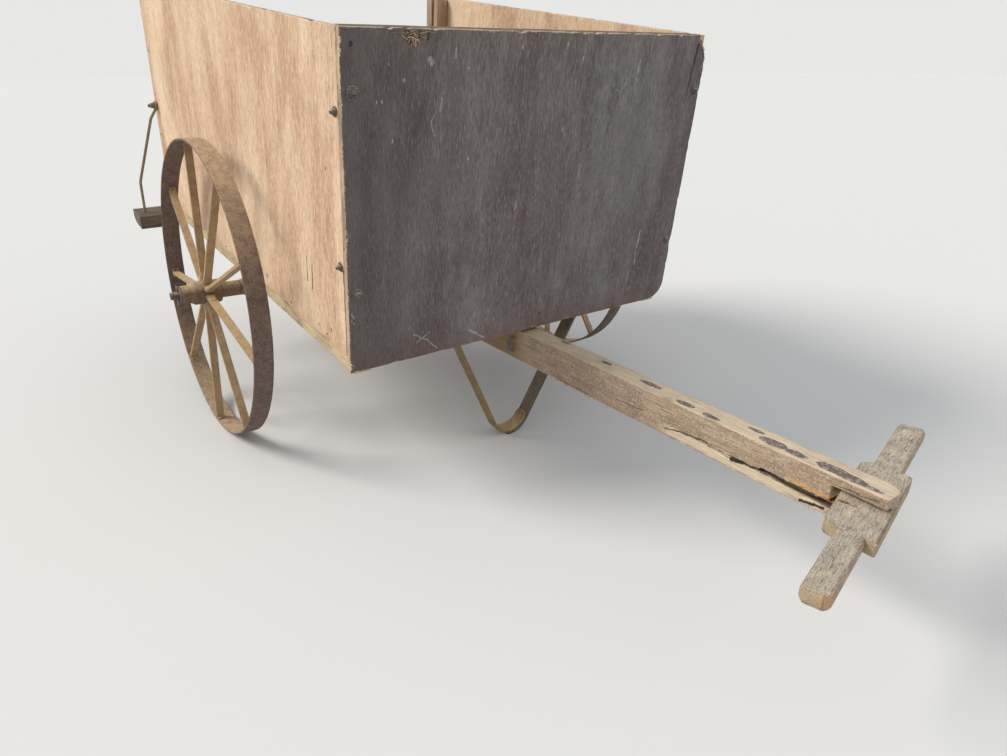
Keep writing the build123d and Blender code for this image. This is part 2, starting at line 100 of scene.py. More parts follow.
class Finish:
    """A material, or the sky, built up from nodes. Each method adds to it and returns the socket that
    it makes. Colours are sockets, or red, green and blue as a picture shows them."""

    def __init__(self, name, kind=bpy.data.materials):
        self.material = kind.new(name)
        self.material.use_nodes = True
        self.tree = self.material.node_tree
        self.shader = self.tree.nodes.get("Principled BSDF")

    def feed(self, node, inputs):
        """Link the sockets among a node's inputs, and set the others."""
        for name, value in inputs.items():
            if isinstance(value, bpy.types.NodeSocket):
                self.tree.links.new(value, node.inputs[name])
            else:
                node.inputs[name].default_value = value

    def add(self, kind, inputs, output=0, **settings):
        node = self.tree.nodes.new("ShaderNode" + kind)
        for name, value in settings.items():
            setattr(node, name, value)
        self.feed(node, inputs)
        return node.outputs[output]

    def place(self, turned=Matrix()):
        """Coordinates in metres along a frame's own axes."""
        here = self.add("TexCoord", {}, "Object")
        inputs = {"Vector": here, "Location": turned.translation, "Rotation": turned.to_euler()}
        return self.add("Mapping", inputs, vector_type="TEXTURE")

    def facing(self, turned=Matrix()):
        """The surface's direction along a frame's own axes, as three sockets."""
        here = self.add("TexCoord", {}, "Normal")
        inputs = {"Vector": here, "Rotation": turned.to_euler()}
        return self.split(self.add("Mapping", inputs, vector_type="TEXTURE"))

    def wear(self):
        """How near an edge the skin is, which the worn shapes note on their points."""
        return self.add("Attribute", {}, "Fac", attribute_name="wear")

    def split(self, vector):
        return tuple(self.add("SeparateXYZ", {0: vector}).node.outputs)

    def join(self, first, second, third=0.0):
        return self.add("CombineXYZ", {0: first, 1: second, 2: third})

    def vector(self, operation, first, second, output=0):
        return self.add("VectorMath", {0: first, 1: second}, output, operation=operation)

    def stretch(self, vector, factors):
        return self.vector("MULTIPLY", vector, factors)

    def length(self, vector):
        return self.vector("LENGTH", vector, (0, 0, 0), "Value")

    def noise(self, here, scale, detail=3.0, rough=0.5, warp=0.0):
        """Noise. Its scale is in marks to a metre, one number or one for each axis."""
        if isinstance(scale, tuple):
            here = self.stretch(here, scale)
            scale = 1.0
        inputs = {"Vector": here, "Scale": scale, "Detail": detail, "Roughness": rough, "Distortion": warp}
        return self.add("TexNoise", inputs, "Fac")

    def math(self, operation, first, second=0.0):
        return self.add("Math", {0: first, 1: second}, operation=operation)

    def both(self, first, second):
        return self.math("MULTIPLY", first, second)

    def either(self, first, second):
        return self.math("MAXIMUM", first, second)

    def plus(self, first, second, weight=1.0):
        """The first value plus the second times a weight."""
        return self.add("Math", {0: second, 1: weight, 2: first}, operation="MULTIPLY_ADD")

    def off(self, value, middle=0.0):
        """How far a value is off a middle, on either side."""
        return self.math("ABSOLUTE", self.math("SUBTRACT", value, middle))

    def between(self, value, low, high, start=0.0, end=1.0):
        """Start at low, end at high, a straight line between, and level beyond."""
        inputs = {"Value": value, "From Min": low, "From Max": high, "To Min": start, "To Max": end}
        return self.add("MapRange", inputs)

    def band(self, value, low, low_full, high_full, high):
        """One between low_full and high_full, and zero below low and above high."""
        return self.both(self.between(value, low, low_full), self.between(value, high, high_full))

    def mix(self, factor, first, second):
        first, second = (shade(*tone) if isinstance(tone, tuple) else tone for tone in (first, second))
        return self.add("Mix", {0: factor, 6: first, 7: second}, 2, data_type="RGBA")

    def tint(self, colour, *rows):
        """Lay tones over a colour one after another. A row is a value, the value at which its tone
        starts, the one at which it is full, how strong it is then, and the tone."""
        for value, low, high, amount, tone in rows:
            colour = self.mix(self.between(value, low, high, 0, amount), colour, tone)
        return colour

    def strokes(self, flat, marks):
        """One inside thin strokes on a flat coordinate, and zero away from them. A mark is the two
        coordinates of its start, those of its end, and its width."""
        mask = 0.0
        for start_x, start_y, end_x, end_y, width in marks:
            run = Vector((end_x - start_x, end_y - start_y, 0))
            reach = self.vector("SUBTRACT", flat, (start_x, start_y, 0))
            if run.length > 0:
                along = self.vector("DOT_PRODUCT", reach, tuple(run / run.length_squared), "Value")
                along = self.between(along, 0, 1)
                nearest = self.join(self.both(along, run.x), self.both(along, run.y))
                reach = self.vector("SUBTRACT", reach, nearest)
            mask = self.either(mask, self.between(self.length(reach), width * 0.5, width * 0.25))
        return mask

    def finish(self, colour, rough, height, depth):
        """Colour and roughness go to the shader, and the height, in metres times depth, becomes bump."""
        normal = self.add("Bump", {"Strength": 1.0, "Distance": depth, "Height": height})
        self.feed(self.shader, {"Base Color": colour, "Roughness": rough, "Normal": normal})
        return self.material


def ply_edge(look, thickness, facing, fine):
    """Mask and colour of a plywood edge: five plies, the end-grain ones dark, under dirt."""
    mask = look.between(look.off(facing), 0.75, 0.55)
    layer = look.math("FRACT", look.both(look.plus(thickness, 1.0), 2.5 / PLY))
    dark = look.between(look.off(layer, 0.5), 0.22, 0.28)
    return mask, look.tint(
        (206, 178, 148),
        (dark, 0, 1, 0.6, (132, 102, 80)),
        (fine, 0.45, 0.62, 0.6, (98, 80, 68)))


# Marks on the front panel: across and up of each end, and width, in metres
PALE_MARKS = [
    (-0.266, 0.563, -0.264, 0.558, 0.0125), (-0.346, 0.556, -0.346, 0.555, 0.0040),
    (-0.190, 0.550, -0.188, 0.546, 0.0048), (-0.217, 0.580, -0.216, 0.566, 0.0050),
    (-0.242, 0.500, -0.245, 0.478, 0.0040), (-0.182, 0.395, -0.182, 0.390, 0.0046),
    (-0.369, 0.500, -0.369, 0.496, 0.0032), (-0.359, 0.499, -0.358, 0.496, 0.0032),
    (-0.317, 0.534, -0.316, 0.530, 0.0036), (-0.073, 0.586, -0.073, 0.581, 0.0044),
    (-0.340, 0.436, -0.340, 0.431, 0.0030), (0.034, 0.592, 0.034, 0.586, 0.0036),
    (0.077, 0.568, 0.077, 0.562, 0.0034), (0.042, 0.436, 0.042, 0.430, 0.0046),
    (-0.256, 0.474, -0.262, 0.462, 0.0022), (-0.262, 0.462, -0.261, 0.450, 0.0022),
    (-0.261, 0.450, -0.254, 0.436, 0.0022), (0.233, 0.560, 0.230, 0.524, 0.0046),
    (0.206, 0.526, 0.188, 0.500, 0.0024), (0.190, 0.500, 0.176, 0.505, 0.0020),
    (0.318, 0.187, 0.314, 0.148, 0.0052), (0.313, 0.134, 0.316, 0.106, 0.0046),
    (0.301, 0.090, 0.296, 0.056, 0.0030), (0.312, 0.046, 0.311, 0.040, 0.0036),
    (-0.426, 0.126, -0.422, 0.116, 0.0036), (-0.426, 0.112, -0.422, 0.104, 0.0034),
    (-0.293, 0.052, -0.262, 0.034, 0.0030), (-0.262, 0.034, -0.237, 0.010, 0.0030),
    (-0.285, 0.034, -0.255, 0.052, 0.0024), (-0.160, 0.034, -0.120, 0.008, 0.0050),
    (0.100, 0.360, 0.098, 0.330, 0.0026), (-0.060, 0.300, -0.061, 0.282, 0.0030),
    (0.160, 0.300, 0.159, 0.286, 0.0028), (-0.140, 0.240, -0.141, 0.226, 0.0026),
]
DARK_MARKS = [
    (-0.412, 0.588, -0.412, 0.584, 0.0064), (-0.272, 0.606, -0.272, 0.594, 0.0036),
    (0.402, 0.592, 0.399, 0.556, 0.0070), (0.399, 0.556, 0.394, 0.510, 0.0044),
    (0.394, 0.510, 0.390, 0.470, 0.0022), (0.030, 0.034, 0.030, 0.034, 0.0060),
    (-0.045, 0.100, -0.046, 0.070, 0.0014), (0.262, 0.034, 0.264, 0.006, 0.0020),
    (-0.311, 0.606, -0.306, 0.590, 0.0110), (-0.288, 0.606, -0.291, 0.596, 0.0070),
]
SIDE_CRACKS = [
    (-0.188, 0.182, -0.191, 0.128, 0.0034), (-0.165, 0.172, -0.168, 0.120, 0.0036),
    (-0.026, 0.206, -0.022, 0.040, 0.0058), (-0.419, 0.062, -0.417, 0.056, 0.0070),
    (-0.083, 0.379, -0.083, 0.377, 0.0046), (-0.091, 0.064, -0.092, 0.058, 0.0046),
    (-0.149, 0.051, -0.148, 0.047, 0.0040), (-0.520, 0.110, -0.521, 0.052, 0.0022),
    (-0.560, 0.130, -0.561, 0.046, 0.0016), (-0.610, 0.090, -0.609, 0.040, 0.0022),
]


def plywood(name, turned, flat_axis, first, second, streak, pore_and_shade_tone, stain, marks_pale, marks_dark):
    """Faded paint on upright plywood grain, worn through in fine streaks, with bare layered edges.
    flat_axis is the frame's axis through the panel: 0 for the front one, whose left is darkened with painted
    shade."""
    look = Finish(name)
    here = look.place(turned)
    coordinates = look.split(here)
    facing = look.facing(turned)
    up = coordinates[2]
    run = coordinates[1 - flat_axis]
    broad = look.noise(here, (6, 6, 1.6), detail=4, rough=0.6, warp=0.5)
    patch = look.noise(here, (22, 22, 7), detail=5, rough=0.65)
    grain = look.noise(here, (260, 260, 24), detail=5, rough=0.72, warp=0.2)
    dash = look.noise(here, (460, 460, 80), rough=0.65)
    fleck = look.noise(here, (210, 210, 52), detail=2)
    damp_and_shade_noise = look.noise(here, (26, 26, 9), detail=5, rough=0.7)
    bare = look.both(look.between(grain, 0.50, 0.66), look.between(patch, 0.34, 0.62, 0.35, 1.0))
    wobble = look.both(look.noise(here, 90, detail=2), 0.005)
    flat = look.join(look.plus(run, wobble), look.plus(up, wobble))
    flat = look.vector("SUBTRACT", flat, (0.0025, 0.0025, 0))
    outside = look.between(facing[0], 0.5, 0.6) if flat_axis == 0 else 1.0
    scuffs = look.both(look.strokes(flat, marks_pale), outside)
    scuffs = look.both(scuffs, look.between(dash, 0.38, 0.60, 0.1, 0.62))
    cracks = look.both(look.strokes(flat, marks_dark), outside)
    edge, layers = ply_edge(look, coordinates[flat_axis], facing[flat_axis], patch)
    ragged = look.both(look.wear(), look.between(look.noise(here, 260, detail=4), 0.42, 0.56))
    colour = look.tint(
        look.mix(look.between(broad, 0.38, 0.60), first, second),
        (patch, 0.50, 0.72, 0.30, streak),
        (patch, 0.46, 0.30, 0.45, pore_and_shade_tone),
        (bare, 0, 1, 0.40, streak),
        (grain, 0.46, 0.34, 0.35, pore_and_shade_tone),
        (dash, 0.56, 0.68, 0.60, streak),
        (dash, 0.45, 0.32, 0.65, pore_and_shade_tone),
        (fleck, 0.70, 0.76, 0.60, streak),
        (look.plus(up, damp_and_shade_noise, 0.10), 0.105, 0.045, 0.50, stain),
        # Painted shade: the front panel darkens towards its left, with a ragged edge.
        (look.plus(run, damp_and_shade_noise, 0.12), -0.08, -0.36, 0.50 if flat_axis == 0 else 0, pore_and_shade_tone),
        (scuffs, 0, 1, 1, (188, 184, 186)),
        (cracks, 0, 1, 0.9, (34, 26, 23)),
        (edge, 0, 1, 1, layers),
        (ragged, 0, 1, 0.85, (222, 200, 168)))
    height = look.plus(look.plus(look.both(grain, 0.9), dash, 0.7), cracks, -2.4)
    return look.finish(colour, look.between(grain, 0.3, 0.7, 0.72, 0.92), height, 0.0008)


def along_grain(grain, fine, coarse):
    """A scale for noise drawn out along the grain's axis: fine along it, and coarse across it."""
    return tuple(fine if axis == grain else coarse for axis in range(3))


def timber(name, grain, pale, dark, deep, turned=BED, boards=0.0):
    """Bare weathered timber. Its grain runs along axis 0, 1 or 2 of the frame. Where boards is their
    width, each board has a grain and a tone of its own."""
    look = Finish(name)
    here = look.place(turned)
    tone = 0.0
    if boards:
        number = look.math("FLOOR", look.both(look.split(here)[0], 1 / boards))
        shift = look.add("TexWhiteNoise", {"W": number}, "Color", noise_dimensions="1D")
        here = look.vector("ADD", here, look.stretch(shift, (9, 9, 9)))
        tone = look.add("TexWhiteNoise", {"W": number}, "Value", noise_dimensions="1D")
    streak = look.noise(here, along_grain(grain, 16, 620), detail=5, rough=0.7, warp=0.2)
    growth = look.noise(here, along_grain(grain, 1.8, 22), warp=1.0)
    rings = look.math("SINE", look.both(growth, 90.0))
    blotch = look.noise(here, along_grain(grain, 14, 30), detail=5, rough=0.65)
    check = look.noise(here, along_grain(grain, 5, 210), rough=0.55, warp=0.6)
    crack = look.both(look.between(look.off(check, 0.5), 0.010, 0.003), look.between(blotch, 0.42, 0.60))
    colour = look.tint(
        look.mix(look.between(streak, 0.34, 0.66), dark, pale),
        (rings, 0.1, 1, 0.30, dark),
        (tone, 0, 1, 0.40, deep),
        (blotch, 0.52, 0.74, 0.60, deep),
        (crack, 0, 1, 0.70, (44, 34, 28)),
        (look.wear(), 0, 1, 0.45, (190, 166, 132)))
    height = look.plus(look.plus(look.both(streak, 0.7), rings, 0.12), crack, -1.5)
    return look.finish(colour, 0.88, height, 0.0007)


# What is left of the paint on the tongue's top: along it, across it, and half lengths, in metres
PAINT_LEFT = [
    (0.238, 0.007, 0.018, 0.007), (0.365, 0.002, 0.034, 0.008), (0.460, -0.010, 0.026, 0.009),
    (0.521, -0.013, 0.024, 0.008), (0.599, 0.007, 0.020, 0.006), (0.642, -0.006, 0.032, 0.013),
    (0.684, -0.008, 0.024, 0.010), (0.746, -0.006, 0.034, 0.014), (0.775, -0.009, 0.036, 0.012),
    (0.808, -0.012, 0.026, 0.006), (0.100, 0.015, 0.020, 0.005),
]
# Cracks and pale spots on the tongue's near side, the widest dark cracks being the split's openings in
# painted shade: along and up of each end, and width, in metres
TONGUE_CRACKS = [
    (0.432, -0.0515, 0.470, -0.0440, 0.0026), (0.470, -0.0440, 0.528, -0.0405, 0.0034),
    (0.528, -0.0405, 0.578, -0.0475, 0.0012), (0.580, -0.0485, 0.602, -0.0450, 0.0090),
    (0.602, -0.0450, 0.638, -0.0430, 0.0048), (0.638, -0.0425, 0.654, -0.0410, 0.0100),
    (0.654, -0.0410, 0.680, -0.0405, 0.0052), (0.714, -0.0595, 0.752, -0.0530, 0.0070),
    (0.300, -0.0430, 0.372, -0.0400, 0.0014), (0.770, -0.0050, 0.830, -0.0020, 0.0012),
]
TONGUE_SPOTS = [
    (0.078, -0.0634, 0.079, -0.0634, 0.0040), (0.173, -0.0200, 0.174, -0.0200, 0.0034),
    (0.760, -0.0540, 0.762, -0.0535, 0.0036),
]


def tongue_paint():
    """A tongue that was painted: brown on its sides, and on top only islands of paint on bare wood."""
    look = Finish("timber_tongue")
    here = look.place(TONGUE)
    along, _, up = look.split(here)
    faces = look.facing(TONGUE)
    streak = look.noise(here, along_grain(0, 18, 640), detail=5, rough=0.7, warp=0.2)
    blotch = look.noise(here, along_grain(0, 16, 34), detail=5, rough=0.65)
    ragged = look.noise(here, 85, detail=5, rough=0.65)
    speck = look.noise(here, 700, rough=0.7)
    flakes = look.plus(look.noise(here, 210, detail=4, rough=0.7), ragged, 0.4)
    level = look.plus(up, ragged, 0.010)
    top = look.between(faces[2], 0.55, 0.75)
    under = look.between(faces[2], -0.55, -0.75)
    tail = look.between(look.plus(along, ragged, 0.06), 0.06, 0.0)

    islands = 0.0
    for centre, middle, half_long, half_wide in PAINT_LEFT:
        reach = look.vector("SUBTRACT", here, (centre, middle, 0))
        reach = look.stretch(reach, (1 / half_long, 1 / half_wide, 0))
        islands = look.either(islands, look.plus(1.0, look.length(reach), -1))
    islands = look.between(look.plus(islands, ragged, 0.5), 0.40, 0.47)
    bald = look.both(top, look.plus(1.0, islands, -1))
    worn = look.both(look.between(look.plus(up, ragged, 0.012), -0.0415, -0.0455),
                     look.between(look.plus(along, ragged, 0.10), 0.46, 0.50))
    cover = look.between(flakes, 0.80, 0.72, 0.35, 1)
    for cut, amount in ((bald, 1.0), (under, 0.8), (tail, 1.0), (worn, 0.92)):
        cover = look.both(cover, look.plus(1.0, cut, -amount))

    # Inside the split, painted dark as shade; the strip of rot above it; and the gap in it, painted dark as
    # shade
    inside = look.both(look.either(top, under), look.band(up, -0.066, -0.060, -0.030, -0.024))
    rot = look.both(look.band(along, 0.680, 0.692, 0.760, 0.766),
                    look.band(level, -0.0375, -0.0360, -0.0305, -0.0290))
    rot = look.both(rot, look.between(ragged, 0.32, 0.44))
    gap = look.both(look.band(along, 0.655, 0.675, 0.766, 0.772),
                    look.band(level, -0.0470, -0.0450, -0.0378, -0.0360))
    frayed = look.both(look.wear(), look.between(look.plus(ragged, under, 0.2), 0.42, 0.56))
    check = look.noise(here, along_grain(0, 4, 160), rough=0.55, warp=0.5)
    crack = look.both(look.between(look.off(check, 0.5), 0.008, 0.002), look.between(blotch, 0.45, 0.62))
    # Dark cracks on the near side; the widest are the split's openings, painted shade.
    deep = look.both(look.strokes(look.join(along, level), TONGUE_CRACKS), look.between(faces[1], -0.4, -0.6))
    crack = look.either(look.both(crack, 0.6), deep)
    spots = look.both(look.strokes(look.join(along, up), TONGUE_SPOTS), look.between(faces[1], -0.5, -0.7))

    bare = look.tint(
        look.mix(look.between(streak, 0.34, 0.66), (172, 152, 124), (224, 208, 182)),
        (blotch, 0.50, 0.72, 0.5, (172, 166, 156)))
    paint = look.tint(
        look.mix(look.between(blotch, 0.38, 0.62), (128, 104, 88), (172, 146, 122)),
        (speck, 0.52, 0.60, 0.5, (212, 190, 162)),
        (speck, 0.46, 0.36, 0.6, (96, 76, 66)),
        (streak, 0.46, 0.32, 0.5, (104, 82, 70)),
        (streak, 0.54, 0.70, 0.5, (198, 174, 146)),
        (top, 0, 1, 1, look.mix(look.between(speck, 0.40, 0.64), (88, 76, 76), (116, 102, 100))))
    colour = look.tint(
        look.mix(cover, bare, paint),
        (tail, 0, 1, 0.75, (128, 98, 58)),
        # The rows for inside and gap paint shade into the split's recess; the rot row between them is the
        # wood's own colour.
        (inside, 0, 1, 0.85, (58, 42, 32)),
        (rot, 0, 1, 1, look.mix(look.between(speck, 0.42, 0.58), (150, 108, 66), (226, 184, 130))),
        (gap, 0, 1, 0.92, (48, 36, 28)),
        (frayed, 0, 1, 0.85, (214, 186, 148)),
        (crack, 0, 1, 1, (36, 27, 22)),
        (spots, 0, 1, 1, (214, 204, 190)))
    height = look.plus(look.plus(look.both(streak, 0.6), cover, 0.35), speck, 0.4)
    height = look.plus(height, crack, -1.5)
    return look.finish(colour, look.between(cover, 0, 1, 0.9, 0.72), height, 0.0007)


def handle_finish():
    """Grey weathered wood, handled smooth, with ochre at its worn edges and ends."""
    look = Finish("timber_handle")
    here = look.place(HANDLE)
    faces = look.facing(HANDLE)
    sway = look.add("TexNoise", {"Vector": here, "Scale": 13.0, "Detail": 1.0}, "Color")
    bent = look.vector("ADD", here, look.stretch(sway, (0.012, 0.012, 0.012)))
    streak = look.noise(bent, along_grain(1, 22, 700), detail=5, rough=0.75, warp=0.2)
    growth = look.noise(bent, along_grain(1, 2.0, 26), detail=2, warp=0.8)
    rings = look.math("SINE", look.both(growth, 120.0))
    grain = look.noise(bent, along_grain(1, 60, 420), rough=0.7)
    blotch = look.noise(here, 34, detail=5, rough=0.7)
    speck = look.noise(here, 520, rough=0.7)
    check = look.noise(bent, along_grain(1, 4, 190), detail=2, warp=0.3)
    crack = look.both(look.between(look.off(check, 0.5), 0.006, 0.001), look.between(blotch, 0.48, 0.60))
    edges = look.both(look.wear(), look.between(blotch, 0.56, 0.42, 0.2, 0.8))
    chip = look.length(look.vector("SUBTRACT", here, (0.012, -0.258, -0.010)))
    chip = look.both(look.between(chip, 0.014, 0.006), look.between(speck, 0.40, 0.52))
    colour = look.tint(
        look.mix(look.between(streak, 0.34, 0.66), (150, 138, 122), (198, 188, 168)),
        (rings, 0, 1, 0.42, (140, 126, 112)),
        (blotch, 0.50, 0.66, 0.60, (134, 126, 124)),
        (blotch, 0.46, 0.34, 0.55, (212, 200, 172)),
        (crack, 0, 1, 0.60, (84, 68, 56)),
        (speck, 0.54, 0.64, 0.70, (104, 90, 80)),
        (speck, 0.46, 0.36, 0.60, (226, 214, 190)),
        (grain, 0.46, 0.36, 0.75, (98, 84, 74)),
        (look.off(faces[1]), 0.6, 0.8, 0.60, (168, 144, 106)),
        (look.off(faces[0]), 0.5, 0.8, 0.45, (154, 124, 90)),
        (edges, 0, 1, 1, (206, 170, 112)),
        (chip, 0, 1, 0.60, (190, 142, 92)))
    height = look.plus(look.both(streak, 0.8), crack, -1.3)
    return look.finish(colour, look.between(blotch, 0.4, 0.6, 0.82, 0.92), height, 0.0006)


def rust(name, deep, mid, bright, dust, grit=1.0, drift_low=0.66):
    """Scaly rust: broad drifts of colour, grains, and dark pits. A lower drift_low shows more of bright."""
    look = Finish(name)
    here = look.place()
    drift = look.noise(here, 7, rough=0.6)
    scale = look.noise(here, 60, detail=5, rough=0.65)
    grain = look.noise(here, 430, detail=4, rough=0.7)
    pits = look.add("TexVoronoi", {"Vector": here, "Scale": 210}, "Distance")
    pit_size = look.between(look.noise(here, 70, detail=2), 0.4, 0.8, 0.0, 0.45)
    pit = look.between(pits, pit_size, 0.0)
    # Upward faces turn sandy tan: settled dust, and painted sunlight on the tops.
    dust_and_sunlit_tops = look.both(look.between(look.facing()[2], 0.25, 0.85),
                        look.between(look.plus(grain, scale), 0.70, 1.15, 0.25, 0.8))
    colour = look.tint(
        look.mix(look.between(scale, 0.36, 0.62), deep, mid),
        (look.plus(drift, scale, 0.4), drift_low, drift_low + 0.22, 0.80, bright),
        (grain, 0.50, 0.70, 0.65, dust),
        (grain, 0.47, 0.30, 0.70, (40, 30, 27)),
        (pit, 0, 1, 0.60, (36, 27, 24)),
        (dust_and_sunlit_tops, 0, 1, 1, (214, 184, 146)),
        (grain, 0.44, 0.34, 0.50, (56, 42, 36)),
        (look.wear(), 0, 1, 0.45, dust))
    height = look.plus(look.plus(grain, scale, 0.8), pit, -0.7)
    return look.finish(colour, look.between(grain, 0.3, 0.7, 0.65, 0.95), height, 0.0011 * grit)


def straw():
    look = Finish("straw")
    here = look.place()
    colour = look.mix(look.between(look.noise(here, 60), 0.38, 0.62), (122, 98, 70), (214, 190, 150))
    return look.finish(colour, 0.85, look.noise(here, 900, detail=2), 0.0003)


# The front and side panels have one paint: the front's colours are darkened as painted shade, and the sides'
# lightened as painted sunlight.
shaded_front_ply = plywood("plywood_front", BED, 0, (87, 75, 73), (107, 101, 101), (148, 139, 136), (58, 48, 46),
                    (104, 76, 64), PALE_MARKS, DARK_MARKS)
sunlit_side_ply = {
    side: plywood(f"plywood_{side}", SIDE[side], 1, (186, 149, 118), (218, 189, 156), (240, 222, 194),
                  (140, 106, 84), (182, 140, 100), [], SIDE_CRACKS if side == "right" else [])
    for side in SIDE}
sawn_long = timber("timber_long", 0, (222, 204, 166), (168, 146, 112), (150, 122, 90))
# The cross timbers' colours are darkened as painted shade.
shaded_cross_timber = timber("timber_cross", 1, (124, 108, 94), (78, 64, 54), (60, 48, 40))
sawn_upright = timber("timber_upright", 2, (190, 164, 136), (142, 114, 92), (112, 86, 70))
floor_wood = timber("timber_floor", 1, (152, 134, 114), (104, 86, 70), (84, 72, 62), boards=BOARD_WIDE)
splinter_wood = timber("timber_splinter", 0, (236, 208, 170), (196, 158, 118), (160, 118, 82))
rotten_wood = timber("timber_rotten", 0, (214, 160, 104), (168, 112, 64), (112, 74, 46), TONGUE)
tongue_wood = tongue_paint()
handle_wood = handle_finish()
rim_rust = rust("rim_rust", (82, 66, 62), (108, 90, 82), (132, 104, 82), (166, 140, 114), 1.5, 0.72)
spoke_rust = rust("spoke_rust", (112, 88, 64), (148, 120, 86), (168, 132, 92), (190, 166, 126), 0.8)
hub_rust = rust("hub_rust", (58, 45, 36), (98, 78, 62), (128, 98, 70), (158, 136, 110), 1.6)
axle_rust = rust("axle_rust", (44, 39, 37), (70, 62, 57), (92, 72, 54), (116, 104, 92), 1.2)
strap_rust = rust("strap_rust", (92, 76, 48), (122, 102, 66), (152, 116, 62), (164, 142, 98), 0.7)
lap_rust = rust("lap_rust", (58, 52, 44), (80, 74, 60), (96, 82, 56), (122, 116, 96), 0.7)
rod_rust = rust("rod_rust", (96, 86, 68), (136, 126, 98), (128, 92, 60), (178, 168, 138), 0.5)
bolt_rust = rust("bolt_rust", (64, 57, 55), (98, 91, 88), (108, 86, 68), (150, 142, 136), 0.6, 0.78)
dry_grass = straw()


# Worn shapes

def link(name, data):
    piece = bpy.data.objects.new(name, data)
    bpy.context.scene.collection.objects.link(piece)
    return piece


def add_piece(name, shape, material, stands_for=None, body="cart"):
    """Make an object of a bmesh. One that stands for a CAD node rides as the node does, and the node is
    hidden.
    """
    mesh = bpy.data.meshes.new(name)
    shape.to_mesh(mesh)
    shape.free()
    mesh.shade_smooth()
    mesh.materials.append(material)
    piece = link(name, mesh)
    if stands_for:
        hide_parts(stands_for)
        body = body_of[stands_for]
    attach(piece, body)
    return piece


def local_points(node, turned):
    back = turned.inverted()
    return [back @ vertex.co for vertex in nodes[node].data.vertices]


def extent(points):
    low = Vector(min(point[axis] for point in points) for axis in range(3))
    high = Vector(max(point[axis] for point in points) for axis in range(3))
    return low, high


def stations(length, edge, step):
    """Places along one side of a block, closer together near its ends."""
    near = [0, 0.4 * edge, edge, 2 * edge]
    inner = length - 4 * edge
    count = max(1, round(inner / step))
    middle = [2 * edge + inner * number / count for number in range(1, count)]
    return near + middle + [length - value for value in reversed(near)]


def pick_corners(points):
    """The eight corners of a six-sided block, keyed by 0 or 1 along each axis."""
    low, high = extent(points)
    middle = (low + high) / 2
    size = high - low
    corners = {}
    for key in [(i, j, k) for i in (0, 1) for j in (0, 1) for k in (0, 1)]:
        towards = Vector((2 * key[axis] - 1) / size[axis] for axis in range(3))
        corners[key] = max(points, key=lambda point: towards.dot(point - middle))
    return corners


def box_corners(low, high):
    return {(i, j, k): Vector((high.x if i else low.x, high.y if j else low.y, high.z if k else low.z))
            for i in (0, 1) for j in (0, 1) for k in (0, 1)}


def worn_in(place, size, radius):
    """How far a point of a block's skin moves in when its edges wear to this radius."""
    core = Vector(min(max(place[axis], radius), size[axis] - radius) for axis in range(3))
    out = place - core
    if out.length <= radius:
        return Vector()
    return core + out * (radius / out.length) - place


def add_block(shape, corners, edge, step, ragged=1.0, bend=None):
    """Add a sawn block with worn and chipped edges. bend moves each finished point."""
    wear = shape.verts.layers.float.get("wear") or shape.verts.layers.float.new("wear")
    far = [(1, 0, 0), (0, 1, 0), (0, 0, 1)]
    size = [(corners[far[axis]] - corners[(0, 0, 0)]).length for axis in range(3)]
    rows = [stations(size[axis], edge, step) for axis in range(3)]
    skin = {}

    def vertex(key):
        if key in skin:
            return skin[key]
        place = Vector(rows[axis][key[axis]] for axis in range(3))
        u, v, w = (place[axis] / size[axis] for axis in range(3))
        point = Vector()
        for (i, j, k), corner in corners.items():
            point += corner * ((u if i else 1 - u) * (v if j else 1 - v) * (w if k else 1 - w))
        rough = 0.6 * noise.noise(point * 55) + 0.8 * noise.noise(point * 19)
        chip = max(0.0, noise.noise(point * 31 + Vector((7, 3, 5))) - 0.38) * 9
        radius = min(edge * max(0.3, 0.8 + ragged * (rough + chip)), 0.45 * min(size))
        moved = worn_in(place, size, radius)
        point += moved
        made = shape.verts.new(bend(point) if bend else point)
        made[wear] = min(1.0, moved.length / (0.35 * edge))
        skin[key] = made
        return made

    for axis in range(3):
        one, two = (axis + 1) % 3, (axis + 2) % 3
        for end in (0, len(rows[axis]) - 1):
            for i in range(len(rows[one]) - 1):
                for j in range(len(rows[two]) - 1):
                    ring = []
                    for di, dj in ((0, 0), (1, 0), (1, 1), (0, 1)):
                        key = [end, end, end]
                        key[one] = i + di
                        key[two] = j + dj
                        ring.append(vertex(tuple(key)))
                    if end == 0:
                        ring.reverse()
                    shape.faces.new(ring)


def worn_block(node, turned, material, edge, step, ragged=1.0, bend=None, square=False):
    """A worn copy of a CAD node that is one sawn block. A square one takes its corners from its extent."""
    points = local_points(node, turned)
    corners = box_corners(*extent(points)) if square else pick_corners(points)
    shape = bmesh.new()
    add_block(shape, corners, edge, step, ragged, bend)
    shape.transform(turned)
    add_piece(node + "_worn", shape, material, node)


def bumps(x, y, z):
    """Smooth noise about zero, for a skin's larger chips."""
    return noise.noise(Vector((x, y, z)))


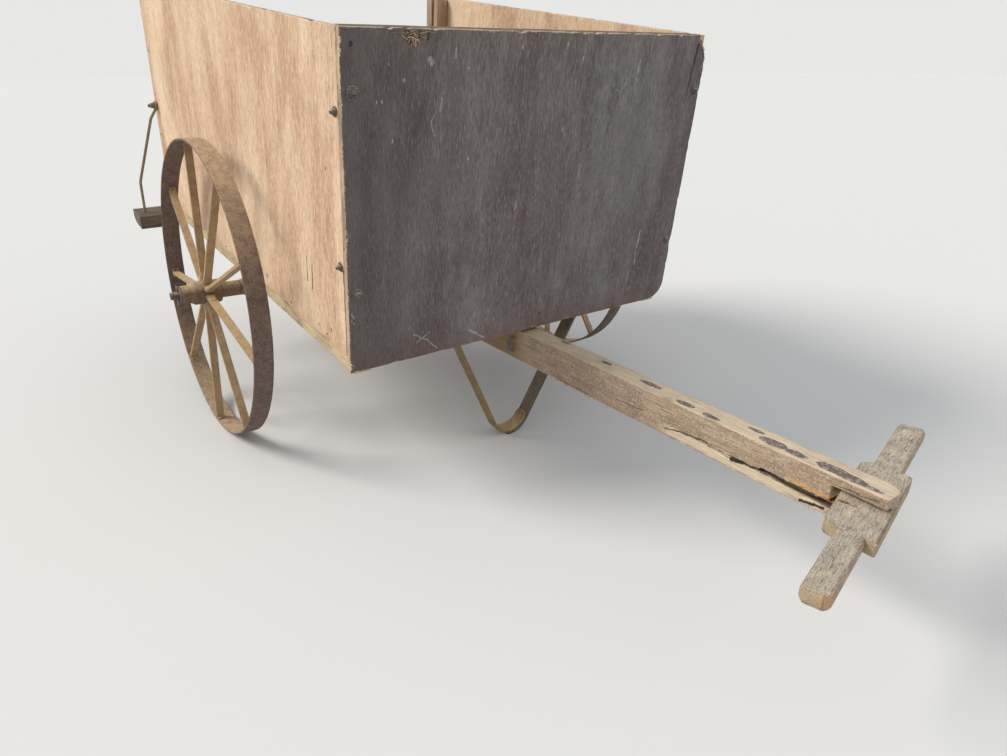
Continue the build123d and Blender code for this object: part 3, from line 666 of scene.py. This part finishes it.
def bend_front(point):
    """The front panel's rotted corner, chipped foot and top, and a slight bow."""
    y, z = point.y, point.z
    centre = Vector((BOX_HALF - CORNER_CUT, CORNER_CUT))
    if y > centre.x and z < centre.y:
        out = Vector((y, z)) - centre
        reach = max(abs(out.x), abs(out.y))
        if out.length > 0:
            out = out * (reach / out.length)
        y, z = centre + out
    foot = max(0.0, 1 - z / 0.020)
    chips = max(0.0, bumps(y * 21, 4, 0) + 0.5 * bumps(y * 70, 9, 0) - 0.10)
    z += foot * chips * 0.012
    top = max(0.0, 1 - (BOX_HIGH - z) / 0.016)
    nibbles = max(0.0, bumps(y * 60, 1, 2) + 0.4 * bumps(y * 150, 1, 5) - 0.15)
    z -= top * nibbles * 0.007
    broken = max(0.0, (y - 0.416) + 0.8 * (z - 0.586) + 0.004 * bumps(0, y * 160, z * 160))
    y -= 0.55 * broken
    z -= 0.35 * broken
    edge = max(0.0, 1 - (BOX_HALF - abs(y)) / 0.008)
    y -= math.copysign(edge * max(0.0, bumps(z * 110, 6, 1)) * 0.0035, y)
    bow = 0.0012 * math.sin(z * 9) * math.cos(y * 3)
    return Vector((point.x - abs(bow), y, z))


def bend_side(sign):
    """A side panel's foot is chipped and its front end has drawn back from the front panel low down."""
    def bend(point):
        front = max(0.0, 1 + (point.x + PLY) / 0.030)
        low = max(0.0, 1 - max(0.0, point.z - 0.05) / 0.16)
        x = point.x - front * low * 0.0035
        foot = max(0.0, 1 - (point.z - 0.032) / 0.014)
        chips = max(0.0, bumps(x * 30, sign * 3, 0) - 0.12)
        top = max(0.0, 1 - (BOX_HIGH - point.z) / 0.012)
        nibbles = max(0.0, bumps(x * 40, sign * 5, 2) - 0.20)
        return Vector((x, point.y, point.z + foot * chips * 0.010 - top * nibbles * 0.007))
    return bend


def worn_boards():
    """The floor boards, each a block of its own."""
    points = local_points("floor_boards", BED)
    edges = sorted({round(point.x, 4) for point in points})
    shape = bmesh.new()
    for number in range(0, len(edges), 2):
        low, high = edges[number] - 0.001, edges[number + 1] + 0.001
        add_block(shape, pick_corners([point for point in points if low < point.x < high]), 0.0022, 0.018)
    shape.transform(BED)
    add_piece("floor_boards_worn", shape, floor_wood, "floor_boards")


def cut_fine(shape, steps):
    """Cut a shape along its own axes so that its skin can be worn."""
    low, high = extent([vertex.co for vertex in shape.verts])
    for axis in range(3):
        across = Vector(float(axis == number) for number in range(3))
        count = max(1, round((high[axis] - low[axis]) / steps[axis]))
        for number in range(1, count):
            place = low + across * ((high[axis] - low[axis]) * number / count)
            everything = shape.verts[:] + shape.edges[:] + shape.faces[:]
            bmesh.ops.bisect_plane(shape, geom=everything, dist=1e-5, plane_co=place, plane_no=across)


def cleaned(node, turned):
    """A bmesh of a CAD node in a frame, with its faces joined up and its flats whole."""
    shape = bmesh.new()
    shape.from_mesh(nodes[node].data)
    shape.transform(turned.inverted())
    bmesh.ops.remove_doubles(shape, verts=shape.verts, dist=2e-5)
    bmesh.ops.dissolve_limit(shape, angle_limit=math.radians(0.5), verts=shape.verts, edges=shape.edges)
    return shape


def soften(shape, width, angle=30):
    """Round the edges where a shape turns by more than this angle."""
    limit = math.radians(angle)
    sharp = [edge for edge in shape.edges if edge.is_manifold and edge.calc_face_angle() > limit]
    bmesh.ops.bevel(shape, geom=sharp, offset=width, segments=2, profile=0.6, affect="EDGES",
                    clamp_overlap=True)


def mark_edges(shape):
    """Note how near each point is to an edge, from how far its faces turn there."""
    shape.normal_update()
    wear = shape.verts.layers.float.new("wear")
    for vertex in shape.verts:
        turn = max((vertex.normal.angle(face.normal, 0.0) for face in vertex.link_faces), default=0.0)
        vertex[wear] = min(1.0, max(0.0, (math.degrees(turn) - 4) / 16))
    return wear


def carved(node, turned, material, steps, depth, fray=lambda point: (1.0, 0.0)):
    """A worn copy of a CAD node of any shape. Its edges are softened and then gouged: fray(point) gives
    how many times the depth, and how far the point sags."""
    shape = cleaned(node, turned)
    soften(shape, 0.0016)
    bmesh.ops.triangulate(shape, faces=[face for face in shape.faces if len(face.verts) > 4])
    cut_fine(shape, steps)
    wear = mark_edges(shape)
    moves = []
    for vertex in shape.verts:
        rough = 0.5 + 0.6 * noise.noise(vertex.co * 60) + 0.6 * noise.noise(vertex.co * 150)
        deeper, sag = fray(vertex.co)
        gouge = vertex[wear] * max(0.0, rough) * depth * deeper + 0.0002 * noise.noise(vertex.co * 45)
        moves.append(vertex.co - vertex.normal * max(gouge, 0.0) - Vector((0, 0, sag)))
    for vertex, place in zip(shape.verts, moves):
        vertex.co = place
    shape.transform(turned)
    add_piece(node + "_worn", shape, material, node)


def softened(node, material, width, angle=30):
    """A copy of an iron CAD node with its sharp edges taken off."""
    shape = cleaned(node, Matrix())
    soften(shape, width, angle)
    mark_edges(shape)
    piece = add_piece(node + "_worn", shape, material, node)
    piece.modifiers.new("flats", "WEIGHTED_NORMAL")


def ramp(value, low, high):
    """Zero at low, one at high, and a straight line between."""
    return max(0.0, min(1.0, (value - low) / (high - low)))


def tongue_fray(point):
    """The tongue's lower edges are frayed ahead of the box. Its split is ragged and gapes, and the
    wood beside it hangs down a little."""
    low = ramp(-point.z, 0.055, 0.067) * ramp(point.x, 0.06, 0.14)
    split = ramp(point.x, 0.56, 0.60) * max(0.0, 1 - abs(point.z + 0.043) / 0.010)
    hole = max(0.0, 1 - abs(point.x - 0.592) / 0.016) + max(0.0, 1 - abs(point.x - 0.647) / 0.016)
    sag = 0.0055 * ramp(point.x, 0.55, 0.62) * ramp(-point.z, 0.018, 0.036) * ramp(-point.z, 0.070, 0.050)
    return 0.6 + 1.6 * low + split * (1.4 + 2.2 * hole), sag


worn_block("front_panel", BED, shaded_front_ply, edge=0.0020, step=0.0085, bend=bend_front, square=True)
for side, turned in SIDE.items():
    drawn_back = bend_side(SIGN[side])
    worn_block(f"side_panel_{side}", turned, sunlit_side_ply[side], edge=0.0018, step=0.0105, bend=drawn_back)
    worn_block(f"side_sill_{side}", turned, sawn_long, edge=0.0028, step=0.012)
    for post in ("corner_post", "rear_post", "slot_batten"):
        worn_block(f"{post}_{side}", turned, sawn_upright, edge=0.0024, step=0.012)
for beam in ("front_cross_sill", "rear_cross_sill", "front_top_rail"):
    worn_block(beam, BED, shaded_cross_timber, edge=0.0032, step=0.009, ragged=1.3)
worn_block("tongue_block", BED, sawn_long, edge=0.0025, step=0.008)
worn_boards()
carved("tongue", TONGUE, tongue_wood, steps=(0.0055, 0.006, 0.006), depth=0.0016, fray=tongue_fray)
carved("handle", HANDLE, handle_wood, steps=(0.0055, 0.0055, 0.0055), depth=0.0014)


# Wheels

def wheel_frame(side):
    """x forward, y down and z outward along the axle, from the middle of the rim."""
    joint = next(row for row in record["behaviour"]["joints"] if row["child"] == f"wheel_{side}")
    out = Vector(joint["axis"]) * SIGN[side]
    ahead = BED.to_3x3() @ Vector((1, 0, 0))
    down = out.cross(ahead) * SIGN[side]
    turned = Matrix((ahead, down, out)).transposed().to_4x4()
    return Matrix.Translation(joint["pos_m"]) @ turned


def worn_rim(side):
    """The band of the wheel, pitted all over, with ragged edges."""
    middle = RIM_THICK / 2
    shape = bmesh.new()
    wear = shape.verts.layers.float.new("wear")
    wide = stations(RIM_WIDE, RIM_EDGE, 0.0042)
    thick = [0, 0.0006, 0.0013, 0.0025, 0.0037, 0.0044, RIM_THICK]
    section = [(across, 0.0) for across in wide] + [(RIM_WIDE, deep) for deep in thick[1:]]
    section += [(across, RIM_THICK) for across in reversed(wide[:-1])]
    section += [(0.0, deep) for deep in reversed(thick[1:-1])]
    rings = []
    for step in range(RIM_STEPS):
        angle = 2 * math.pi * step / RIM_STEPS
        spin = Vector((math.cos(angle), math.sin(angle), 0))
        ring = []
        for across, deep in section:
            seed = spin * RIM_RADIUS + Vector((0, 0, across + (0 if deep < middle else 0.3)))
            radius = RIM_EDGE * (0.9 + 0.7 * noise.noise(seed * 90) + 0.6 * noise.noise(seed * 30))
            radius = min(max(radius, 0.0004), 0.0022)
            moved = worn_in(Vector((across, deep, 0.5)), (RIM_WIDE, RIM_THICK, 1.0), radius)
            pit = 0.00028 * (noise.noise(seed * 130) + noise.noise(seed * 260)) - 0.0002
            inward = deep + moved.y + (-pit if deep < middle else pit)
            inward = min(max(inward, 0.0), RIM_THICK)
            place = spin * (RIM_RADIUS - inward) + Vector((0, 0, across + moved.x - RIM_WIDE / 2))
            made = shape.verts.new(place)
            made[wear] = min(1.0, moved.length / (0.5 * RIM_EDGE))
            ring.append(made)
        rings.append(ring)
    for step in range(RIM_STEPS):
        ring, after = rings[step], rings[(step + 1) % RIM_STEPS]
        for number in range(len(section)):
            nxt = (number + 1) % len(section)
            shape.faces.new((ring[number], after[number], after[nxt], ring[nxt]))
    shape.transform(wheel_frame(side))
    bmesh.ops.recalc_face_normals(shape, faces=shape.faces)
    add_piece(f"wheel_rim_{side}_worn", shape, rim_rust, f"wheel_rim_{side}")


for side in SIDE:
    worn_rim(side)
    softened(f"wheel_spokes_{side}", spoke_rust, 0.0016)
    softened(f"wheel_hub_{side}", hub_rust, 0.0012, angle=25)
    for part, material in (("axle_clamp", lap_rust), ("side_brace", rod_rust), ("brace_bolt", bolt_rust),
                           ("linchpin", bolt_rust), ("axle_collar", hub_rust), ("hub_washer", bolt_rust)):
        softened(f"{part}_{side}", material, 0.0008)
softened("stand_leg_right", strap_rust, 0.0008)
softened("stand_leg_left", lap_rust, 0.0008)
softened("axle", axle_rust, 0.0020)
softened("tongue_staple", bolt_rust, 0.0010)


# Bolts, nails and rivets

def lathe(shape, turned, profile, steps, wobble=0.0):
    """Spin (radius, height) points round a frame's z. The first and last lie on the axis."""
    rings = []
    for radius, height in profile:
        if radius == 0:
            rings.append([shape.verts.new(turned @ Vector((0, 0, height)))])
            continue
        ring = []
        for step in range(steps):
            angle = 2 * math.pi * step / steps
            spin = Vector((math.cos(angle), math.sin(angle), 0))
            grown = radius * (1 + wobble * noise.noise(turned.translation * 90 + spin * 2))
            ring.append(shape.verts.new(turned @ (spin * grown + Vector((0, 0, height)))))
        rings.append(ring)
    for ring, after in zip(rings, rings[1:]):
        for step in range(steps):
            nxt = (step + 1) % steps
            around = ((ring, step), (ring, nxt), (after, nxt), (after, step))
            corners = [points[number % len(points)] for points, number in around]
            shape.faces.new(list(dict.fromkeys(corners)))


def washer_and_head(shape, turned, washer, head, rise, tilt, nut):
    """A washer on the wood, and a domed head or a nut with the bolt's end through it."""
    lathe(shape, turned, [(0, -0.001), (washer, -0.001), (washer, 0.0012), (washer * 0.93, 0.0019),
                          (washer * 0.5, 0.0021), (0, 0.0021)], 32, 0.05)
    lean = turned @ Matrix.Rotation(tilt, 4, "X") @ Matrix.Translation((washer * 0.12, 0, 0))
    if nut:
        lathe(shape, lean, [(0, 0.001), (head, 0.001), (head, rise * 0.55), (head * 0.86, rise * 0.62),
                            (head * 0.5, rise * 0.62), (head * 0.5, rise), (0, rise)], 6)
        lathe(shape, lean, [(0, 0.002), (head * 0.55, 0.002), (head * 0.55, rise * 0.95),
                            (head * 0.42, rise), (0, rise)], 16, 0.05)
    else:
        turns = [math.radians(15 * step) for step in range(6)]
        dome = [(head * math.cos(turn), 0.0016 + rise * math.sin(turn)) for turn in turns]
        lathe(shape, lean, [(0, 0.001), (head, 0.001), *dome, (0, 0.0016 + rise)], 24, 0.06)


def facing_out(turned, place, towards):
    """A frame at a place of another frame, its z along one of that frame's directions."""
    quarter = {"+x": Matrix.Rotation(math.pi / 2, 4, "Y"),
               "+y": Matrix.Rotation(-math.pi / 2, 4, "X"), "-y": Matrix.Rotation(math.pi / 2, 4, "X"),
               "+z": Matrix(), "-z": Matrix.Rotation(math.pi, 4, "X")}
    return turned @ Matrix.Translation(place) @ quarter[towards]


# A bolt is its washer's and its head's radius, the head's rise and tilt, and whether it is a nut
SIDE_BOLT = (0.0092, 0.0060, 0.0100, 0.07, True)
CLAMP_BOLT = (0.0100, 0.0075, 0.0110, 0.0, True)
STAND_BOLT = (0.0085, 0.0070, 0.0090, 0.0, True)
FRONT_BOLTS = [              # across the front panel, up, and the bolt
    (-0.411, 0.512, (0.0128, 0.0066, 0.0072, 0.10, True)),
    (-0.413, 0.162, (0.0118, 0.0078, 0.0056, -0.08, False)),
    (0.416, 0.500, (0.0105, 0.0066, 0.0050, 0.05, False)),
    (0.414, 0.154, (0.0080, 0.0060, 0.0044, 0.06, False)),
]
SIDE_BOLTS = [(-0.035, 0.482), (-0.036, 0.212)]      # along the side panel, up
# Radii of nail and rivet heads
FLOOR_NAIL = 0.0038
SIDE_NAIL = 0.0028
RIVET = 0.0032


def side_face(side):
    """How far out a side panel's outer face is, and which way it looks, in its own frame."""
    low, high = extent(local_points(f"side_panel_{side}", SIDE[side]))
    return (high.y, "+y") if side == "left" else (low.y, "-y")


def panel_bolts():
    shape = bmesh.new()
    for across, up, bolt in FRONT_BOLTS:
        washer_and_head(shape, facing_out(BED, (0, across, up), "+x"), *bolt)
    add_piece("front_bolts", shape, bolt_rust)
    for side in SIDE:
        face, outward = side_face(side)
        shape = bmesh.new()
        for along, up in SIDE_BOLTS:
            washer_and_head(shape, facing_out(SIDE[side], (along, face, up), outward), *SIDE_BOLT)
        add_piece(f"side_bolts_{side}", shape, bolt_rust)


def nail(shape, turned, radius):
    head = [(0, -0.001), (radius, -0.001), (radius, 0.0004), (radius * 0.7, 0.0009), (0, 0.001)]
    lathe(shape, turned, head, 10)


def floor_nails():
    """Two nails where each floor board crosses each side sill."""
    shape = bmesh.new()
    points = local_points("floor_boards", BED)
    edges = sorted({round(point.x, 4) for point in points})
    top = max(point.z for point in points)
    chance = random.Random(4)
    for number in range(0, len(edges), 2):
        for inset in (0.030, 0.110):
            for sign in (-1, 1):
                along = edges[number] + inset + chance.uniform(-0.006, 0.006)
                across = sign * (SILL_OUT - along * math.tan(FLARE)) + chance.uniform(-0.006, 0.006)
                nail(shape, facing_out(BED, (along, across, top), "+z"), FLOOR_NAIL)
    add_piece("floor_nails", shape, bolt_rust)


def side_nails():
    """Nails through the side panels into the sills and posts."""
    chance = random.Random(9)
    for side in SIDE:
        face, outward = side_face(side)
        back = min(point.x for point in local_points(f"side_panel_{side}", SIDE[side]))
        places = []
        for number in range(6):
            along = -0.10 - number * 0.20 + chance.uniform(-0.015, 0.015)
            places.append((along, face, 0.041 + chance.uniform(0, 0.006)))
        for number in range(5):
            places.append((back + 0.016, face, 0.12 + number * 0.11 + chance.uniform(-0.012, 0.012)))
        shape = bmesh.new()
        for place in places:
            nail(shape, facing_out(SIDE[side], place, outward), SIDE_NAIL)
        add_piece(f"side_nails_{side}", shape, bolt_rust)


def under_bolts():
    """Bolts through the feet of the axle's clamps and of the stand."""
    shape = bmesh.new()
    for side, sign in SIGN.items():
        points = local_points(f"axle_clamp_{side}", BED)
        low, high = extent(points)
        foot = min(point.z for point in points if point.x < low.x + 0.002)
        for along in (low.x + 0.015, high.x - 0.015):
            place = (along, (low.y + high.y) / 2, foot)
            washer_and_head(shape, facing_out(BED, place, "-z"), *CLAMP_BOLT)
        points = local_points(f"stand_leg_{side}", BED)
        low, high = extent(points)
        outer = high.y if sign > 0 else low.y
        foot = min(point.z for point in points if abs(point.y - outer) < 0.002)
        for inward in (0.014, 0.044):
            place = ((low.x + high.x) / 2, outer - sign * inward, foot)
            washer_and_head(shape, facing_out(BED, place, "-z"), *STAND_BOLT)
    add_piece("under_bolts", shape, bolt_rust)


def rim_rivets():
    """A rivet through the rim at each spoke's tab, its flat head just proud inside."""
    for side in SIDE:
        turned = wheel_frame(side)
        shape = bmesh.new()
        for spoke in range(SPOKES):
            angle = math.radians(FIRST_SPOKE + 360 / SPOKES * spoke)
            row = 0.012 * math.sin(angle)
            for beside in (-0.0085, 0.0085):
                out = Vector((math.cos(angle), math.sin(angle), 0))
                across = Vector((-out.y, out.x, 0))
                place = out * (RIM_RADIUS - RIM_THICK - 0.0028) + across * beside + Vector((0, 0, row))
                spot = Matrix((across, Vector((0, 0, 1)), -out)).transposed().to_4x4()
                nail(shape, turned @ Matrix.Translation(place) @ spot, RIVET)
        bmesh.ops.recalc_face_normals(shape, faces=shape.faces)
        add_piece(f"rim_rivets_{side}", shape, rim_rust, body=f"wheel_{side}")


panel_bolts()
floor_nails()
side_nails()
under_bolts()
rim_rivets()


# Splinters, rot and straw

def sliver(shape, start, end, wide, chance, bends=3):
    """A thin curling three-sided shaving from start to end."""
    run = end - start
    across = run.orthogonal().normalized()
    across.rotate(Matrix.Rotation(chance.uniform(0, 2 * math.pi), 3, run.normalized()))
    rise = run.cross(across).normalized()
    curl = across * (run.length * chance.uniform(-0.14, 0.14))
    rings = []
    for step in range(bends + 1):
        part = step / bends
        middle = start + run * part + curl * (part * part)
        size = wide * (1 - 0.8 * part)
        rings.append([shape.verts.new(middle + across * size), shape.verts.new(middle - across * size),
                      shape.verts.new(middle + rise * size * 0.5)])
    for ring, after in zip(rings, rings[1:]):
        for number in range(3):
            nxt = (number + 1) % 3
            shape.faces.new((ring[number], ring[nxt], after[nxt], after[number]))
    shape.faces.new(rings[0][::-1])
    shape.faces.new(rings[-1])


def fringe(name, turned, material, rows, seed):
    """Slivers along lines: start, end, count, lean off the line, length and width."""
    chance = random.Random(seed)
    shape = bmesh.new()
    for start, end, count, lean, length, wide in rows:
        start, end, lean = Vector(start), Vector(end), Vector(lean)
        for number in range(count):
            root = start.lerp(end, (number + chance.random()) / count)
            stray = Vector(chance.gauss(0, 0.25) for _ in range(3))
            tip = root + (lean.normalized() + stray).normalized() * length * chance.uniform(0.4, 1.2)
            sliver(shape, turned @ root, turned @ tip, wide * chance.uniform(0.6, 1.2), chance)
    bmesh.ops.recalc_face_normals(shape, faces=shape.faces)
    add_piece(name, shape, material)


fringe("panel_splinters", BED, splinter_wood, [
    ((-0.002, -0.4305, 0.02), (-0.002, -0.4305, 0.60), 110, (0.5, -0.6, 0.9), 0.007, 0.0007),
    ((-0.003, 0.404, 0.600), (-0.001, 0.420, 0.583), 22, (0.5, 0.3, -0.5), 0.009, 0.0010),
    ((-0.001, 0.422, 0.580), (-0.001, 0.430, 0.540), 12, (0.5, 0.4, -0.9), 0.008, 0.0008),
    ((-0.003, 0.36, 0.004), (-0.003, 0.10, 0.004), 14, (0.3, 0.4, -0.7), 0.006, 0.0006),
    ((-0.003, -0.36, 0.004), (-0.003, -0.10, 0.004), 18, (0.3, 0.4, -0.7), 0.006, 0.0006),
    ((-0.004, -0.42, 0.607), (-0.004, 0.40, 0.607), 70, (0.6, 0.4, 0.3), 0.005, 0.0006),
], 3)
fringe("tongue_splinters", TONGUE, splinter_wood, [
    ((0.110, -0.0232, -0.0675), (0.225, -0.0232, -0.0700), 62, (0.9, -0.6, -0.2), 0.013, 0.0013),
    ((0.225, -0.0232, -0.0705), (0.350, -0.0232, -0.0710), 36, (0.9, -0.5, -0.3), 0.010, 0.0009),
    ((0.486, -0.0236, -0.0400), (0.524, -0.0236, -0.0390), 20, (0.3, -0.3, 0.9), 0.007, 0.0010),
    ((0.440, -0.0238, -0.0500), (0.560, -0.0238, -0.0450), 26, (0.9, -0.3, 0.2), 0.009, 0.0007),
    ((0.600, -0.0234, -0.0700), (0.740, -0.0234, -0.0680), 22, (0.9, -0.5, -0.2), 0.010, 0.0007),
], 5)
fringe("tongue_rot", TONGUE, rotten_wood, [
    ((0.690, -0.0225, -0.0400), (0.755, -0.0225, -0.0395), 40, (1, -0.15, -0.15), 0.010, 0.0008),
    ((0.742, -0.0215, -0.0430), (0.764, -0.0200, -0.0440), 34, (0.6, -0.5, 0.5), 0.009, 0.0010),
], 7)
fringe("block_crumbs", HANDLE, rotten_wood, [
    ((-0.041, -0.034, -0.0006), (-0.024, -0.034, -0.0004), 44, (0.5, -0.6, 0.5), 0.006, 0.0011),
    ((-0.036, -0.038, -0.0006), (-0.014, -0.036, -0.0004), 26, (0.8, -0.3, 0.4), 0.005, 0.0009),
], 15)


STRAW_AT = -0.299            # across the front panel
STRAW_COUNT = 90


def straw_tuft():
    """A wisp of dry grass caught on the front panel's top edge."""
    chance = random.Random(12)
    shape = bmesh.new()
    for number in range(STRAW_COUNT):
        root = Vector((chance.uniform(-0.010, 0.002), STRAW_AT + chance.gauss(0, 0.010), BOX_HIGH - 0.007))
        if root.x > 0:
            root.z -= chance.random() * 0.012
        lean = Vector((abs(chance.gauss(0.1, 0.35)), chance.gauss(-0.2, 0.9), chance.gauss(-0.35, 0.6)))
        tip = root + lean.normalized() * chance.uniform(0.008, 0.030)
        tip.x = max(tip.x, 0.001)
        tip.z = min(tip.z, BOX_HIGH - 0.001)
        sliver(shape, BED @ root, BED @ tip, chance.uniform(0.0005, 0.0011), chance, 4)
    bmesh.ops.recalc_face_normals(shape, faces=shape.faces)
    add_piece("straw_tuft", shape, dry_grass)


straw_tuft()


# The studio: camera, floor, sky and lights

def add_camera():
    data = bpy.data.cameras.new("camera")
    data.lens = CAMERA_LENS
    data.sensor_width = CAMERA_SENSOR
    camera = link("camera", data)
    turn = Euler((math.radians(90 - CAMERA_DOWN), 0, math.radians(CAMERA_HEADING - 90))).to_matrix()
    turn = turn @ Matrix.Rotation(math.radians(-CAMERA_ROLL), 3, "Z")
    camera.matrix_world = Matrix.Translation(CAMERA_AT) @ turn.to_4x4()
    bpy.context.scene.camera = camera


PALE = (0.80, 0.80, 0.79, 1)


def add_floor():
    half = 60
    mesh = bpy.data.meshes.new("floor")
    corners = [(-half, -half, 0), (half, -half, 0), (half, half, 0), (-half, half, 0)]
    mesh.from_pydata(corners, [], [(0, 1, 2, 3)])
    look = Finish("floor")
    look.feed(look.shader, {"Base Color": (0.70, 0.70, 0.69, 1), "Roughness": 0.9, "Specular IOR Level": 0.1})
    mesh.materials.append(look.material)
    link("floor", mesh)


def add_sky():
    """A soft blue light from all round, and a pale background where it is seen."""
    sky = Finish("studio", bpy.data.worlds)
    bpy.context.scene.world = sky.material
    light = sky.tree.nodes["Background"]
    sky.feed(light, {"Color": (0.93, 0.96, 1, 1), "Strength": 0.62})
    seen = sky.add("Background", {"Color": PALE})
    rays = sky.add("LightPath", {}).node.outputs
    direct = sky.either(rays["Is Camera Ray"], rays["Is Glossy Ray"])
    mixed = sky.add("MixShader", {0: direct, 1: light.outputs[0], 2: seen})
    sky.feed(sky.tree.nodes["World Output"], {0: mixed})


def add_lights():
    for name, towards, strength, softness, colour in (
            ("key", (-0.45, -0.65, 0.62), 2.6, 26, (1, 0.95, 0.88)),
            ("fill", (0.85, 0.15, 0.5), 0.5, 50, (0.95, 0.97, 1))):
        data = bpy.data.lights.new(name, "SUN")
        data.energy = strength
        data.angle = math.radians(softness)
        data.color = colour
        lamp = link(name, data)
        lamp.rotation_euler = Vector(towards).to_track_quat("Z", "Y").to_euler()
    bpy.context.scene.view_settings.view_transform = "Standard"


add_camera()
add_floor()
add_sky()
add_lights()
